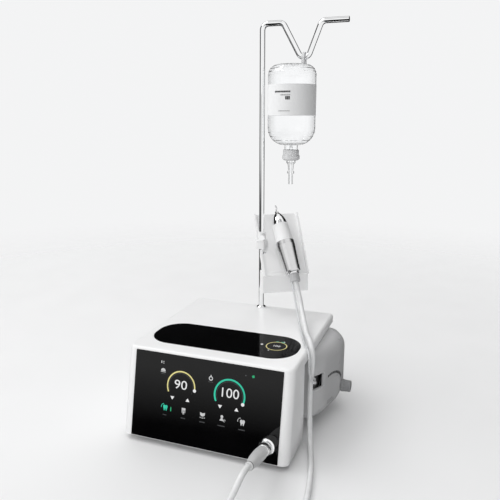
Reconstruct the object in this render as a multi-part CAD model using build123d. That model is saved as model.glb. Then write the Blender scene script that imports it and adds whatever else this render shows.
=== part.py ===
from build123d import *

import math
import os

# Desktop ultrasonic scaler with touch screen, side pump, fluid stand, bottle and corded handpiece.
# Millimetres, +X to the operator's right, +Y to the back, +Z up. The parts are drawn with the
# middle of the screen's lower edge at x = 0, y = 0, and are moved at the end so that the origin
# is the middle of the footprint, on the table.

# --- driving dimensions -------------------------------------------------------------
FOOT_H = 7.0
HEAD_HALF_W = 105.0
HEAD_D = 65.0
TOP_Z = 113.0
REAR_Y = 222.0
WALL = 2.5
CORNER_ROUND = 9.0
REAR_CORNER_ROUND = 5.0
TOP_ROUND = 4.0
DECK_SKIRT = 11.0

SCREEN_LEAN = 12.0
GLASS_W, GLASS_H, GLASS_T = 186.0, 104.0, 3.0
GLASS_FOOT_Z = 8.0
GLASS_PROUD = 0.8

TOP_GLASS_W, TOP_GLASS_D, TOP_GLASS_T, TOP_GLASS_R = 188.6, 69.0, 2.2, 30.0
TOP_GLASS_X, TOP_GLASS_Y = -0.3, 78.5

CHASSIS_HALF_W = 92.0
CHASSIS_FRONT = 61.0
REAR_PANEL_Y = 217.2
PAN_T = 2.6
FOOT_PLACES = [(x, y) for x in (-80, 80) for y in (26, 198)]
BOARD_POSTS = [(x, y) for x in (-62, 42) for y in (100, 190)]
PANEL_SCREWS = [(x, z) for x in (-86, 86) for z in (50, 96)]
FAN_X, FAN_Z = 30.0, 72.0
ROCKER_X, ROCKER_Z = -28.5, 29.0
ROCKER_AXIS_Y = REAR_PANEL_Y + 0.5

POLE_D = 7.0
POLE_Y = 212.0
FERRULE_R = 5.0
POLE_TOP = 501.0
POLE_FOOT = 78.0
POLE_BEND = 8.0
HANGER_X = (28.0, 58.1, 79.0, 113.5)
HANGER_VERTEX_Z = 447.3

BOTTLE_X, BOTTLE_R = 41.3, 31.5
BOTTLE_BOTTOM, BOTTLE_TOP = 346.5, 449.5
NECK_R, NECK_LOW = 9.0, 330.0
LOOP_X, LOOP_RISE = 56.8, 11.1

SOCKET_X, SOCKET_UP = 80.4, 19.4
CORD_D = 6.4
CORD_LIFT = CORD_D / 2 + 0.1
TUBE_D = 3.0

POD_LOW, POD_HIGH, POD_ROUND = 15.0, TOP_Z - DECK_SKIRT - 0.6, 17.0
WINDOW_W, WINDOW_H = 21.0, 19.0
KNOB_Y, KNOB_Z = 165.0, 34.0
ROTOR_Y, ROTOR_Z = 116.0, 66.0
ROLLER_ORBIT, ROLLER_R, ROLLERS = 14.0, 4.5, 3
BED_R = 23.0

CRADLE_FOOT = Vector(38.5, 206.0, 166.0)
CRADLE_TURN, CRADLE_LEAN = 34.0, 36.0
CRADLE_W, CRADLE_L, CRADLE_T = 66.0, 95.0, 3.0
CLAMP_R, CLAMP_LOW, CLAMP_TOP = 6.2, 201.0, 225.0
SCREW_Z = 218.5

GRIP_R = 13.2
HANDPIECE_ACROSS, HANDPIECE_LIFT, HANDPIECE_SKEW = 5.6, 16.6, 5.0
SWIVEL_CUT_Z = 134.0
RUN_GAP = 0.3

COIL_X, COIL_Y, COIL_R, COIL_HOLE_R, COIL_H = 96.0, -123.0, 44.8, 25.2, 12.9

ORIGIN = Vector(0.0, 111.0, 0.0)

# --- frames -------------------------------------------------------------------------
lean = math.radians(SCREEN_LEAN)
SCREEN = Plane(
    origin=(0, 0, GLASS_FOOT_Z),
    x_dir=(1, 0, 0),
    z_dir=(0, -math.cos(lean), math.sin(lean)),
)
turn, tilt = math.radians(CRADLE_TURN), math.radians(CRADLE_LEAN)
ACROSS = Vector(math.cos(turn), math.sin(turn), 0)
ALONG = Vector(
    -math.sin(tilt) * math.sin(turn), math.sin(tilt) * math.cos(turn), math.cos(tilt)
)
CRADLE = Plane(origin=CRADLE_FOOT, x_dir=ACROSS, z_dir=ACROSS.cross(ALONG))
TAIL = CRADLE_FOOT + ACROSS * HANDPIECE_ACROSS + CRADLE.z_dir * HANDPIECE_LIFT - ALONG * 2
skew = math.radians(HANDPIECE_SKEW)
REACH = ALONG * math.cos(skew) - ACROSS * math.sin(skew)
HANDPIECE = Plane(origin=TAIL, x_dir=REACH.cross(CRADLE.z_dir), z_dir=REACH)
PLUG = Plane(
    origin=SCREEN.from_local_coords(Vector(SOCKET_X, SOCKET_UP, 0)),
    x_dir=(1, 0, 0),
    z_dir=SCREEN.z_dir,
)
ROTOR = Plane(origin=(0, ROTOR_Y, ROTOR_Z), x_dir=(0, 1, 0), z_dir=(1, 0, 0))
FACING_RIGHT = Plane(origin=(0, 0, 0), x_dir=(0, 1, 0), z_dir=(1, 0, 0))
REAR_OUT = Plane(origin=(0, 0, 0), x_dir=(1, 0, 0), z_dir=(0, -1, 0))
WINDOW = Plane(origin=(114.7, 95.4, 68), x_dir=(0.4472, 0.8944, 0), z_dir=(0.8944, -0.4472, 0))
BARB = Plane(origin=(109.9, 92.0, 71.5), x_dir=(0, 0, 1), z_dir=(0.5, -0.866, 0))
CLAMP_SCREW = Plane(origin=(0, POLE_Y, SCREW_Z), x_dir=(0, 0, 1), z_dir=(0.33, -0.944, 0))


def block(x0, x1, y0, y1, z0, z1):
    """A box between two corners."""
    return Pos((x0 + x1) / 2, (y0 + y1) / 2, (z0 + z1) / 2) * Box(
        x1 - x0, y1 - y0, z1 - z0
    )


def rod(plane, r, s0, s1, u=0.0, v=0.0):
    """A cylinder along a plane's normal, from s0 to s1, at u, v in the plane."""
    return plane * Pos(u, v, (s0 + s1) / 2) * Cylinder(r, abs(s1 - s0))


def tube(plane, r, hole, s0, s1, u=0.0, v=0.0):
    """A cylinder with a hole through it."""
    over = 1.0
    return rod(plane, r, s0, s1, u, v) - rod(plane, hole, s0 - over, s1 + over, u, v)


def turned(plane, profile):
    """A solid turned about a plane's normal from (radius, height) points."""
    face = make_face(Polyline(*[(r, 0, s) for r, s in profile], close=True))
    return plane * revolve(face, Axis.Z, 360)


def screen_block(u0, u1, v0, v1, w0, w1):
    """A box in the leaning screen's frame."""
    return SCREEN * block(u0, u1, v0, v1, w0, w1)


# --- casing -------------------------------------------------------------------------
def side_profile(inset, bottom, back):
    """The head's outline seen from the side: front leans, top and back are square."""
    slope = math.tan(lean)
    setback = (GLASS_PROUD + inset) / math.cos(lean)
    top = TOP_Z - inset

    def front(z):
        return (z - GLASS_FOOT_Z) * slope + setback

    return Polyline(
        (0, front(bottom), bottom),
        (0, front(top), top),
        (0, back, top),
        (0, back, bottom),
        close=True,
    )


def head_block(inset, bottom, back):
    half = HEAD_HALF_W - inset
    face = make_face(side_profile(inset, bottom, back))
    return Pos(-half, 0, 0) * extrude(face, 2 * half, dir=(1, 0, 0))


def upper_shell():
    """Front housing and deck in one moulding, open below and behind."""
    head = head_block(0, FOOT_H, HEAD_D)
    deck = block(-HEAD_HALF_W, HEAD_HALF_W, HEAD_D, REAR_Y, TOP_Z - DECK_SKIRT, TOP_Z)
    outer = head + deck
    corners = [e for e in outer.edges() if e.length > 60 and e.center().Y < 20 and abs(e.center().X) > 90]
    outer = fillet(corners, CORNER_ROUND)
    back_corners = [e for e in outer.edges().filter_by(Axis.Z) if e.center().Y > REAR_Y - 1]
    outer = fillet(back_corners, REAR_CORNER_ROUND)
    rim = [e for e in outer.edges() if e.center().Z > TOP_Z - 0.1]
    outer = fillet(rim, TOP_ROUND)
    front_wall = 4.6
    hollow = head_block(WALL, FOOT_H - 1, HEAD_D - WALL) - SCREEN * block(
        -200, 200, -20, 200, -GLASS_PROUD - front_wall, 10
    )
    inside = CHASSIS_HALF_W + 0.3
    hollow += block(-inside, inside, HEAD_D - WALL - 1, HEAD_D + 1, FOOT_H - 1, TOP_Z - WALL)
    hollow += block(
        -HEAD_HALF_W + WALL,
        HEAD_HALF_W - WALL,
        HEAD_D,
        REAR_Y - WALL,
        TOP_Z - DECK_SKIRT - 1,
        TOP_Z - WALL,
    )
    shell = outer - hollow
    seat = 0.2
    shell -= screen_block(
        -GLASS_W / 2 - seat,
        GLASS_W / 2 + seat,
        -seat,
        GLASS_H + seat,
        GLASS_PROUD - GLASS_T,
        5,
    )
    shell -= screen_block(-84, 84, 30, 99, -12, 0)
    shell -= rod(PLUG, 7.2, -12, 1)
    recess = TOP_GLASS_T - 0.3
    shell -= Pos(TOP_GLASS_X, TOP_GLASS_Y, TOP_Z - recess) * extrude(
        RectangleRounded(TOP_GLASS_W + 0.6, TOP_GLASS_D + 0.6, TOP_GLASS_R + 0.3), 5
    )
    shell -= Pos(0, POLE_Y, TOP_Z) * Cylinder(FERRULE_R + 0.1, 12)
    return shell


def front_glass():
    glass = screen_block(
        -GLASS_W / 2, GLASS_W / 2, 0, GLASS_H, GLASS_PROUD - GLASS_T + 0.05, 0
    )
    return glass - rod(PLUG, 7.2, -5, 1)


def top_glass():
    plate = extrude(
        RectangleRounded(TOP_GLASS_W, TOP_GLASS_D, TOP_GLASS_R), TOP_GLASS_T
    )
    return Pos(TOP_GLASS_X, TOP_GLASS_Y, TOP_Z - TOP_GLASS_T + 0.35) * plate


def display_module():
    """Liquid-crystal panel with its metal tray, behind the glass."""
    return screen_block(-80, 80, 32, 97, -11.0, GLASS_PROUD - GLASS_T - 0.2)


def display_board():
    board = screen_block(-70, 70, 38, 92, -14.4, -12.8)
    for u, v in ((-40, 60), (10, 70), (45, 55)):
        board += screen_block(u - 8, u + 8, v - 8, v + 8, -16.4, -14.4)
    return board


def rear_chassis():
    """Lower walls under the deck, set in from its skirt."""
    low, top = FOOT_H + PAN_T + 0.1, TOP_Z - WALL - 0.2
    back = REAR_PANEL_Y - 0.1
    walls = block(-CHASSIS_HALF_W, CHASSIS_HALF_W, CHASSIS_FRONT, back, low, top)
    walls -= block(
        -CHASSIS_HALF_W + WALL,
        CHASSIS_HALF_W - WALL,
        CHASSIS_FRONT - 1,
        back + 1,
        low - 1,
        top + 1,
    )
    walls += block(
        -CHASSIS_HALF_W + 1, CHASSIS_HALF_W - 1, HEAD_D + 1, HEAD_D + 1 + WALL, low, TOP_Z - 40
    )
    walls -= block(-200, 200, CHASSIS_FRONT - 1, TOP_GLASS_Y + 40, TOP_Z - 6, TOP_Z)
    walls -= rod(ROTOR, 9.3, 80, 100)
    for n in range(6):
        y = 130 + n * 12
        walls -= block(-CHASSIS_HALF_W - 1, -80, y, y + 4, 25, 75)
    return walls


def base_pan():
    side = CHASSIS_HALF_W
    pan = block(-HEAD_HALF_W + 3, HEAD_HALF_W - 3, 6.3, HEAD_D - WALL - 0.2, FOOT_H, FOOT_H + PAN_T)
    pan += block(-side, side, 30, REAR_PANEL_Y + 2, FOOT_H, FOOT_H + PAN_T)
    for x, y in BOARD_POSTS:
        pan += Pos(x, y, FOOT_H + PAN_T + 1.5) * Cylinder(3.5, 3.4)
    for x, y in FOOT_PLACES:
        pan -= Pos(x, y, FOOT_H + 1) * Cylinder(2.3, 8)
    return pan


def rubber_feet():
    """Four feet whose stems plug into the base pan."""
    feet = []
    for x, y in FOOT_PLACES:
        pad = Pos(x, y, FOOT_H / 2) * Cylinder(9, FOOT_H)
        pad = chamfer(pad.edges().group_by(Axis.Z)[0], 0.8)
        feet.append(pad + Pos(x, y, FOOT_H + 1.3) * Cylinder(2.0, 2.6))
    return Compound(children=feet)


def rear_panel():
    top = TOP_Z - WALL - 0.5
    y0, y1 = REAR_PANEL_Y, REAR_PANEL_Y + 2
    panel = block(-CHASSIS_HALF_W, CHASSIS_HALF_W, y0, y1, FOOT_H + PAN_T + 0.1, top)
    panel -= block(-78.2, -49.8, y0 - 1, REAR_Y, 17.8, 40.2)
    panel -= block(-36.2, -20.8, y0 - 1, REAR_Y, 17.8, 40.2)
    panel -= rod(REAR_OUT, 6.3, -y1 - 1, -y0 + 1, 70, 28)
    for ring in (6.5, 11.5, 16.5):
        slot = tube(REAR_OUT, ring + 1.5, ring - 1.0, -y1 - 1, -y0 + 1, FAN_X, FAN_Z)
        panel -= slot - cross_bars()
    back = Plane(origin=(0, y0, 0), x_dir=(-1, 0, 0), z_dir=(0, 1, 0))
    for x, z in PANEL_SCREWS:
        panel -= rod(back, 1.4, -1, 3, -x, z)
    return panel


def cross_bars():
    """Spokes that stay in the fan grille."""
    bars = Box(40, 20, 2.4) + Box(2.4, 20, 40)
    return Pos(FAN_X, REAR_PANEL_Y, FAN_Z) * bars


# --- mains, fan and electronics -----------------------------------------------------
def mains_inlet():
    """Appliance inlet with three contact pins in its well."""
    body = block(-78, -50, REAR_PANEL_Y - 20, REAR_PANEL_Y + 2.1, 18, 40)
    body += block(-80, -48, REAR_PANEL_Y + 2.05, REAR_PANEL_Y + 4, 16, 42)
    body -= block(-75, -53, REAR_PANEL_Y - 14, REAR_PANEL_Y + 6, 20.5, 37.5)
    for x, z in ((-71, 27), (-57, 27), (-64, 32)):
        body += block(x - 1, x + 1, REAR_PANEL_Y - 15, REAR_PANEL_Y, z - 2, z + 2)
    return body


def power_switch_body():
    body = block(-36, -21, REAR_PANEL_Y - 16, REAR_PANEL_Y + 2.1, 18, 40)
    body += block(-38, -19, REAR_PANEL_Y + 2.05, REAR_PANEL_Y + 3.2, 16, 42)
    body -= block(-34.2, -22.8, REAR_PANEL_Y - 8, REAR_PANEL_Y + 5, 19.2, 38.8)
    axle = Pos(ROCKER_X, ROCKER_AXIS_Y, ROCKER_Z) * Rot(0, 90, 0) * Cylinder(1.15, 12.2)
    return body + axle


def power_rocker():
    """Two-position rocker on a short axle along X."""
    side = Polyline(
        (0, -8.4, 4.6), (0, -8.2, -3), (0, 8.2, -3), (0, 8.4, 4.6), (0, 0, 2.4), close=True
    )
    rocker = extrude(make_face(side), 5.4, both=True, dir=(1, 0, 0))
    place = Pos(ROCKER_X, ROCKER_AXIS_Y, ROCKER_Z) * Rot(-90, 0, 0)
    return place * (rocker - Rot(0, 90, 0) * Cylinder(1.2, 20))


def pedal_socket():
    """Round socket for the foot switch lead, with a plain bore."""
    body = tube(REAR_OUT, 6.2, 4.0, -REAR_PANEL_Y - 2.1, -REAR_PANEL_Y + 10, 70, 28)
    body += tube(REAR_OUT, 9.0, 4.0, -REAR_PANEL_Y - 4.2, -REAR_PANEL_Y - 2.05, 70, 28)
    back = rod(REAR_OUT, 6.2, -REAR_PANEL_Y + 10, -REAR_PANEL_Y + 12, 70, 28)
    return body + back


def fan_frame():
    frame = Pos(FAN_X, REAR_PANEL_Y - 5.2, FAN_Z) * Box(40, 10, 40)
    frame -= rod(REAR_OUT, 18.6, -REAR_PANEL_Y - 1, -REAR_PANEL_Y + 12, FAN_X, FAN_Z)
    hub = rod(REAR_OUT, 6, -REAR_PANEL_Y + 8.4, -REAR_PANEL_Y + 10.2, FAN_X, FAN_Z)
    arms = Pos(FAN_X, REAR_PANEL_Y - 9.3, FAN_Z) * (Box(38, 1.8, 3) + Box(3, 1.8, 38))
    axle = rod(REAR_OUT, 1.0, -REAR_PANEL_Y + 2, -REAR_PANEL_Y + 9, FAN_X, FAN_Z)
    return frame + hub + arms + axle


def fan_rotor():
    """Hub and seven pitched blades on the fan's axle."""
    blades = 7
    rotor = rod(REAR_OUT, 8, -REAR_PANEL_Y + 1.2, -REAR_PANEL_Y + 7.8)
    for n in range(blades):
        blade = Pos(0, 12.2, 0) * Rot(0, 38, 0) * Box(6.6, 10.4, 1.0)
        rotor += Pos(0, REAR_PANEL_Y - 4.5, 0) * Rot(90, 0, 0) * Rot(0, 0, 360 * n / blades) * blade
    rotor -= rod(REAR_OUT, 1.05, -REAR_PANEL_Y - 1, -REAR_PANEL_Y + 9)
    return Pos(FAN_X, 0, FAN_Z) * rotor


def main_board():
    return block(-70, 50, 92, 198, 13.05, 14.65)


def board_parts():
    """Capacitors, connectors, chips and a finned heat sink on the main board."""
    parts = [Pos(x, 110, 23.7) * Cylinder(6, 18) for x in (-50, -34, -18)]
    parts += [block(x, x + 14, 175, 189, 14.7, 19) for x in (-48, -26)]
    parts += [block(-62, -46, 140, 156, 14.7, 17), block(-36, -8, 140, 150, 14.7, 26)]
    sink = block(0, 44, 148, 186, 14.7, 19)
    for n in range(8):
        sink += block(n * 6, n * 6 + 2, 148, 186, 19, 44)
    return Compound(children=parts + [sink])


def transformer():
    core = block(0, 34, 100, 132, 14.7, 44)
    core -= block(7, 27, 95, 140, 22, 37)
    winding = block(8, 26, 97, 135, 23, 36)
    return core + winding


def power_supply():
    return fillet(block(-88, -76, 92, 186, 14, 62).edges().filter_by(Axis.X), 2)


# --- pump ---------------------------------------------------------------------------
def pod_outline(inset):
    """Plan of the pump pod: a long bulging side, rounded at the front and back."""
    near = CHASSIS_HALF_W + 0.2
    corners = [(near, 84), (109, 84), (121, 108), (130, 150), (130, 184), (116, 209), (near, 209)]
    rounds = (20, 60, 60, 30, 20)
    plan = make_face(Polyline(*corners, close=True))
    for place, r in zip(corners[1:-1], rounds):
        corner = plan.vertices().sort_by_distance((place[0], place[1], 0))[0]
        plan = fillet(corner, r)
    return offset(plan, -inset) if inset else plan


def pod_block(inset):
    """Solid pod with rounded upper and lower rims on its three outer sides."""
    low, high = POD_LOW + inset, POD_HIGH - inset
    solid = Pos(0, 0, low) * extrude(pod_outline(inset), high - low)
    inner_x = CHASSIS_HALF_W + 1 + inset
    rims = [
        e
        for e in solid.edges()
        if (abs(e.center().Z - low) < 0.1 or abs(e.center().Z - high) < 0.1)
        and e.center().X > inner_x
    ]
    return fillet(rims, POD_ROUND - inset)


def pump_housing():
    """Outer cover of the pump, open towards the chassis."""
    inner = pod_block(WALL)
    near = CHASSIS_HALF_W
    inner += block(near - 1, near + 5, 98, 195, POD_LOW + 6, POD_HIGH - 6)
    shell = pod_block(0) - inner
    shell -= WINDOW * Pos(-0.5, 0, 0) * Box(WINDOW_W, WINDOW_H, 30)
    shell -= rod(FACING_RIGHT, 2.7, 120, 140, KNOB_Y, KNOB_Z)
    return shell


def pump_bracket():
    """Backing plate on the chassis wall with the curved tube bed and a hose barb."""
    x0 = CHASSIS_HALF_W + 0.1
    x1 = x0 + 2.2
    plate = block(x0, x1, ROTOR_Y - 6, ROTOR_Y + 34, ROTOR_Z - 27, ROTOR_Z + 27)
    bed = tube(ROTOR, BED_R + 3.5, BED_R, x0, 108.4)
    bed &= block(x0, 120, ROTOR_Y + 4, ROTOR_Y + 34, ROTOR_Z - 27, ROTOR_Z + 27)
    stay = block(x0, x1, 98.5, ROTOR_Y, ROTOR_Z + 19, ROTOR_Z + 27)
    shelf = block(x0, 108.5, 98.5, 101.5, 86, 90)
    post = block(105.5, 108.5, 94.0, 101.5, 86, 90) + block(105.5, 108.5, 94.0, 96.5, BARB.origin.Z, 90)
    barb = rod(BARB, 2.4, -5.0, -0.02)
    return plate + bed + stay + shelf + post + barb - rod(ROTOR, 9.3, 90, 100)


def pump_tube():
    """Squeezed hose round the rollers, between them and the bed."""
    u = (BED_R + ROLLER_ORBIT + ROLLER_R) / 2
    front, back = ROTOR_Y - 1, ROTOR_Y + u
    low, high = ROTOR_Z - u, ROTOR_Z + u
    corners = [(103, front, high), (103, back, high), (103, back, low), (103, front, low)]
    path = FilletPolyline(*corners, radius=u - 0.1)
    return sweep(Plane(origin=path @ 0, z_dir=path % 0) * Circle(1.9), path=path)


def pump_motor():
    body = rod(ROTOR, 16, 52, 88) + rod(ROTOR, 9, 88, 95)
    return body + rod(ROTOR, 2.5, 95, 104.6)


def pump_rotor():
    """Two discs that carry the roller pins, on the motor's shaft."""
    rotor = tube(ROTOR, 18, 2.55, 97.2, 99.0) + tube(ROTOR, 18, 2.55, 107.0, 108.8)
    rotor += tube(ROTOR, 5.5, 2.55, 99.0, 107.0)
    for n in range(ROLLERS):
        u, v = roller_place(n)
        rotor += rod(ROTOR, 1.4, 98, 108, u, v)
    return rotor


def roller_place(n):
    angle = math.radians(200 + 360 * n / ROLLERS)
    return ROLLER_ORBIT * math.cos(angle), ROLLER_ORBIT * math.sin(angle)


def pump_roller(n):
    u, v = roller_place(n)
    return tube(ROTOR, ROLLER_R, 1.45, 99.2, 106.8, u, v)


def flow_knob():
    """Fluted knob with a pointer rib, on a short stem."""
    x0 = 130.4
    face = Plane(origin=(x0, KNOB_Y, KNOB_Z), x_dir=(0, 1, 0), z_dir=(1, 0, 0))
    knob = turned(face, [(0, 0), (8.3, 0), (8.3, 2.4), (7.9, 3), (7.4, 11.6), (7, 12.4), (0, 12.4)])
    for n in range(12):
        angle = math.radians(30 * n)
        knob -= rod(face, 1.1, 3, 14, 8.3 * math.cos(angle), 8.3 * math.sin(angle))
    return knob + rod(face, 2.5, -20, 0.5)


def flow_valve():
    """Pinch valve behind the flow knob, on the chassis wall."""
    face = Plane(origin=(0, KNOB_Y, KNOB_Z), x_dir=(0, 1, 0), z_dir=(1, 0, 0))
    x0 = CHASSIS_HALF_W + 0.1
    body = rod(face, 8.5, x0, 117) + rod(face, 11, x0, x0 + 2.5)
    return body - rod(face, 2.55, 110, 118)


# --- stand and bottle ---------------------------------------------------------------
def hanger_points():
    x1, x2, x3, x4 = HANGER_X
    return [
        (0, POLE_Y, POLE_FOOT),
        (0, POLE_Y, POLE_TOP),
        (x1, POLE_Y, POLE_TOP),
        (x2, POLE_Y, HANGER_VERTEX_Z),
        (x3, POLE_Y, POLE_TOP),
        (x4, POLE_Y, POLE_TOP),
    ]


def fluid_pole():
    """One bent rod: upright, V-shaped hook and free arm."""
    path = FilletPolyline(*hanger_points(), radius=POLE_BEND)
    section = Plane(origin=path @ 0, z_dir=path % 0) * Circle(POLE_D / 2)
    return sweep(section, path=path)


def pole_ferrule():
    """Flanged collar in the deck that the pole turns in."""
    up = Plane(origin=(0, POLE_Y, TOP_Z))
    bore = POLE_D / 2 + 0.05
    return turned(up, [(bore, 3.0), (4.6, 3.0), (6.6, 1.4), (6.6, 0.05), (FERRULE_R, 0.05),
                       (FERRULE_R, -5), (bore, -5)])


def pole_socket():
    """Blind tube under the deck that carries the pole's foot, with two fixing ears."""
    low, high = POLE_FOOT - 4, TOP_Z - 5.1
    up = Plane(origin=(0, POLE_Y, 0))
    cup = rod(up, FERRULE_R, low, high)
    cup += block(-9, 9, REAR_PANEL_Y - 5, REAR_PANEL_Y - 0.1, low, low + 16)
    return cup - rod(up, POLE_D / 2 + 0.05, POLE_FOOT, TOP_Z)


def saline_bottle():
    """Blow-moulded bottle hung neck down, hollow."""
    outer = bottle_profile(0)
    inner = bottle_profile(1.0)
    up = Plane(origin=(BOTTLE_X, POLE_Y, 0))
    body = turned(up, outer) - turned(up, inner)
    return body


def bottle_profile(wall):
    """Half outline from the neck's mouth to the closed base, which is on top."""
    r, top, low = BOTTLE_R - wall, BOTTLE_TOP - wall, BOTTLE_BOTTOM + wall
    points = [(0, NECK_LOW), (NECK_R - wall, NECK_LOW), (NECK_R - wall, low)]
    shoulder, base = 22.0, 13.0
    for n in range(7):
        a = math.radians(90 * n / 6)
        points.append(
            (r - shoulder + shoulder * math.sin(a), low + shoulder - shoulder * math.cos(a))
        )
    for n in range(6):
        a = math.radians(90 * n / 5)
        points.append((r - base + base * math.cos(a), top - base + base * math.sin(a)))
    return points + [(0, top)]


def bottle_label():
    up = Plane(origin=(BOTTLE_X, POLE_Y, 0))
    return tube(up, BOTTLE_R + 0.35, BOTTLE_R + 0.03, 385, 424)


def bottle_stopper():
    """Rubber stopper in the neck, under its crimped cap."""
    up = Plane(origin=(BOTTLE_X, POLE_Y, 0))
    return tube(up, NECK_R - 1.05, 2.3, NECK_LOW, NECK_LOW + 8)


def bottle_cap():
    up = Plane(origin=(BOTTLE_X, POLE_Y, 0))
    cap = turned(
        up, [(2.4, NECK_LOW - 0.05), (NECK_R + 0.05, NECK_LOW - 0.05), (NECK_R + 0.05, 340),
             (10.6, 340), (10.6, 334), (11.6, 332), (11.6, 328), (8.4, 326), (2.4, 326)]
    )
    return cap


def drip_spike():
    """Spike through the stopper, with a flange and a tube nipple."""
    up = Plane(origin=(BOTTLE_X, POLE_Y, 0))
    spike = turned(
        up, [(0, 349), (2.2, 343), (2.2, 325.9), (6.2, 325.9), (6.2, 323), (4.2, 321),
             (3.4, 313), (4.6, 311), (4.6, 309), (3.0, 307.5), (3.0, 294), (0, 294)]
    )
    return spike - rod(up, 1.4, 290, 340)


def hanging_loop():
    """Moulded bail on the bottle's base that goes over the hook."""
    x, low = LOOP_X, BOTTLE_TOP - 3
    arch_z = low + LOOP_RISE
    ring = Plane(origin=(x, POLE_Y, 0), x_dir=(0, 1, 0), z_dir=(1, 0, 0))
    outer = rod(ring, 6.6, -1.6, 1.6, 0, arch_z) + Pos(x, POLE_Y, (low + arch_z) / 2) * Box(
        3.2, 13.2, arch_z - low
    )
    inner = rod(ring, 4.6, -3, 3, 0, arch_z) + Pos(x, POLE_Y, (low + arch_z) / 2 + 2) * Box(
        6, 9.2, arch_z - low - 3
    )
    loop = outer - inner
    return loop - turned(Plane(origin=(BOTTLE_X, POLE_Y, 0)), bottle_profile(-0.03))


# --- cradle -------------------------------------------------------------------------
def pole_column(r, z0, z1):
    return Pos(0, POLE_Y, (z0 + z1) / 2) * Cylinder(r, z1 - z0)


def handpiece_cradle():
    """Sloping tray with low sides and a front lip, notched for the pole."""
    half = CRADLE_W / 2
    tray = CRADLE * block(-half, half, 0, CRADLE_L, 0, CRADLE_T)
    for side in (-1, 1):
        x0, x1 = sorted((side * half, side * (half - 2.5)))
        tray += CRADLE * block(x0, x1, 0, CRADLE_L, 0, 6.0)
    lip_frame = Plane(origin=CRADLE_FOOT, x_dir=ACROSS, z_dir=(0, 0, 1))
    lip = lip_frame * block(-half, half, 0, 3, -24, 6)
    for side in (-1, 1):
        x0, x1 = sorted((side * half, side * (half - 2.5)))
        lip += lip_frame * block(x0, x1, 0, 17, -24, 5.5)
    cradle = tray + lip
    cradle -= pole_column(1.42 * CLAMP_R + 0.6, 100, 300)
    return cradle


def cradle_clamp():
    """Split sleeve round the pole with an arm under the tray."""
    sleeve = pole_column(CLAMP_R - 0.6, CLAMP_LOW, CLAMP_TOP)
    sleeve += fillet(
        (Pos(0, POLE_Y, CLAMP_LOW + 6) * Box(2 * CLAMP_R, 2 * CLAMP_R, 12)).edges().filter_by(Axis.Z), 2
    )
    sleeve += rod(CLAMP_SCREW, 3.6, 3, 7.5)
    arm = CRADLE * block(-31, 10, 38, 54, -8, -0.05)
    clamp = sleeve + arm - pole_column(POLE_D / 2 + 0.05, 150, 260)
    return clamp - rod(CLAMP_SCREW, 2.05, 0, 12)


def clamp_knob():
    """Thumb screw that presses on the pole."""
    knob = rod(CLAMP_SCREW, 4.2, 7.7, 13.0)
    for n in range(8):
        a = math.radians(45 * n)
        knob -= rod(CLAMP_SCREW, 0.8, 7, 14, 4.6 * math.cos(a), 4.6 * math.sin(a))
    return knob + rod(CLAMP_SCREW, 2.0, 3.6, 8)


# --- handpiece ----------------------------------------------------------------------
def handpiece_grip():
    """Metal rear barrel, widest at its front end."""
    outer = [(10.4, 0), (11.1, 1.2), (11.4, 12), (12.3, 27), (GRIP_R, 40), (13.0, 46)]
    return turned(HANDPIECE, outer + [(10.0, 46), (9.4, 2), (8.0, 2), (8.0, 0)])


def handpiece_sleeve():
    """White sleeve that screws to the barrel."""
    outer = [(12.6, 46.1), (12.7, 47), (12.1, 58), (11.0, 73)]
    return turned(HANDPIECE, outer + [(8.6, 73), (9.6, 60), (9.9, 46.1)])


def nose_cone():
    """Polished cone that closes the front round the horn."""
    outer = [(10.9, 73.1), (10.1, 78), (8.1, 83.5), (5.7, 88), (4.0, 90.5)]
    return turned(HANDPIECE, outer + [(3.4, 90.5), (3.4, 86), (7.9, 73.1)])


def sonic_horn():
    """Stepped horn from the ceramic stack to the tip's thread."""
    return turned(
        HANDPIECE,
        [(0, 44), (6.6, 44), (6.6, 60), (5.0, 64), (3.6, 78), (2.8, 84), (2.8, 92), (0, 92)],
    )


def ceramic_stack():
    """Four ceramic rings between thin electrodes."""
    stack = [tube(HANDPIECE, 6.8, 2.6, 25 + 4.6 * n, 29.2 + 4.6 * n) for n in range(4)]
    return Compound(children=stack)


def stack_bolt():
    """Back mass with the bolt that clamps the stack to the horn."""
    return rod(HANDPIECE, 6.6, 8, 24.9) + rod(HANDPIECE, 2.5, 24, 43.9)


def scaler_tip():
    """Hooked tip on a hexagon base."""
    base = HANDPIECE * Pos(0, 0, 92.1) * extrude(RegularPolygon(2.6, 6), 2.2)
    route = FilletPolyline((0, 0, 93.5), (0, 0, 96.5), (1.5, -0.6, 100), (-0.4, -2.4, 103), radius=2.0)
    near = Plane(origin=route @ 0, z_dir=route % 0) * Circle(0.9)
    return base + HANDPIECE * sweep(near, path=route)


def cord_connector():
    """Cord end that the handpiece pushes onto, with its bend relief."""
    body = turned(
        HANDPIECE,
        [
            (0, -26),
            (3.6, -26),
            (3.8, -14),
            (7.0, -14),
            (7.4, -3.2),
            (8.0, -2.8),
            (8.0, -0.15),
            (6.2, -0.15),
            (6.2, 5.6),
            (0, 5.6),
        ],
    )
    return body


# --- plug on the front --------------------------------------------------------------
def handpiece_socket():
    """Chrome panel socket with a flanged nut."""
    barrel = tube(PLUG, 7.1, 5.6, -11, 0.1)
    flange = turned(
        PLUG, [(5.6, 0.1), (9.2, 0.1), (9.2, 4.0), (8.2, 5.4), (5.6, 5.4)]
    )
    return barrel + flange


def plug_core():
    """Contact barrel of the plug, inside its lock ring and the socket."""
    return rod(PLUG, 5.5, -8, 24.0)


def plug_ring():
    """Sliding lock ring with a knurled band."""
    return turned(
        PLUG, [(5.6, 6.6), (6.9, 6.6), (7.3, 8), (7.3, 16), (6.8, 17), (5.6, 17)]
    )


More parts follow.
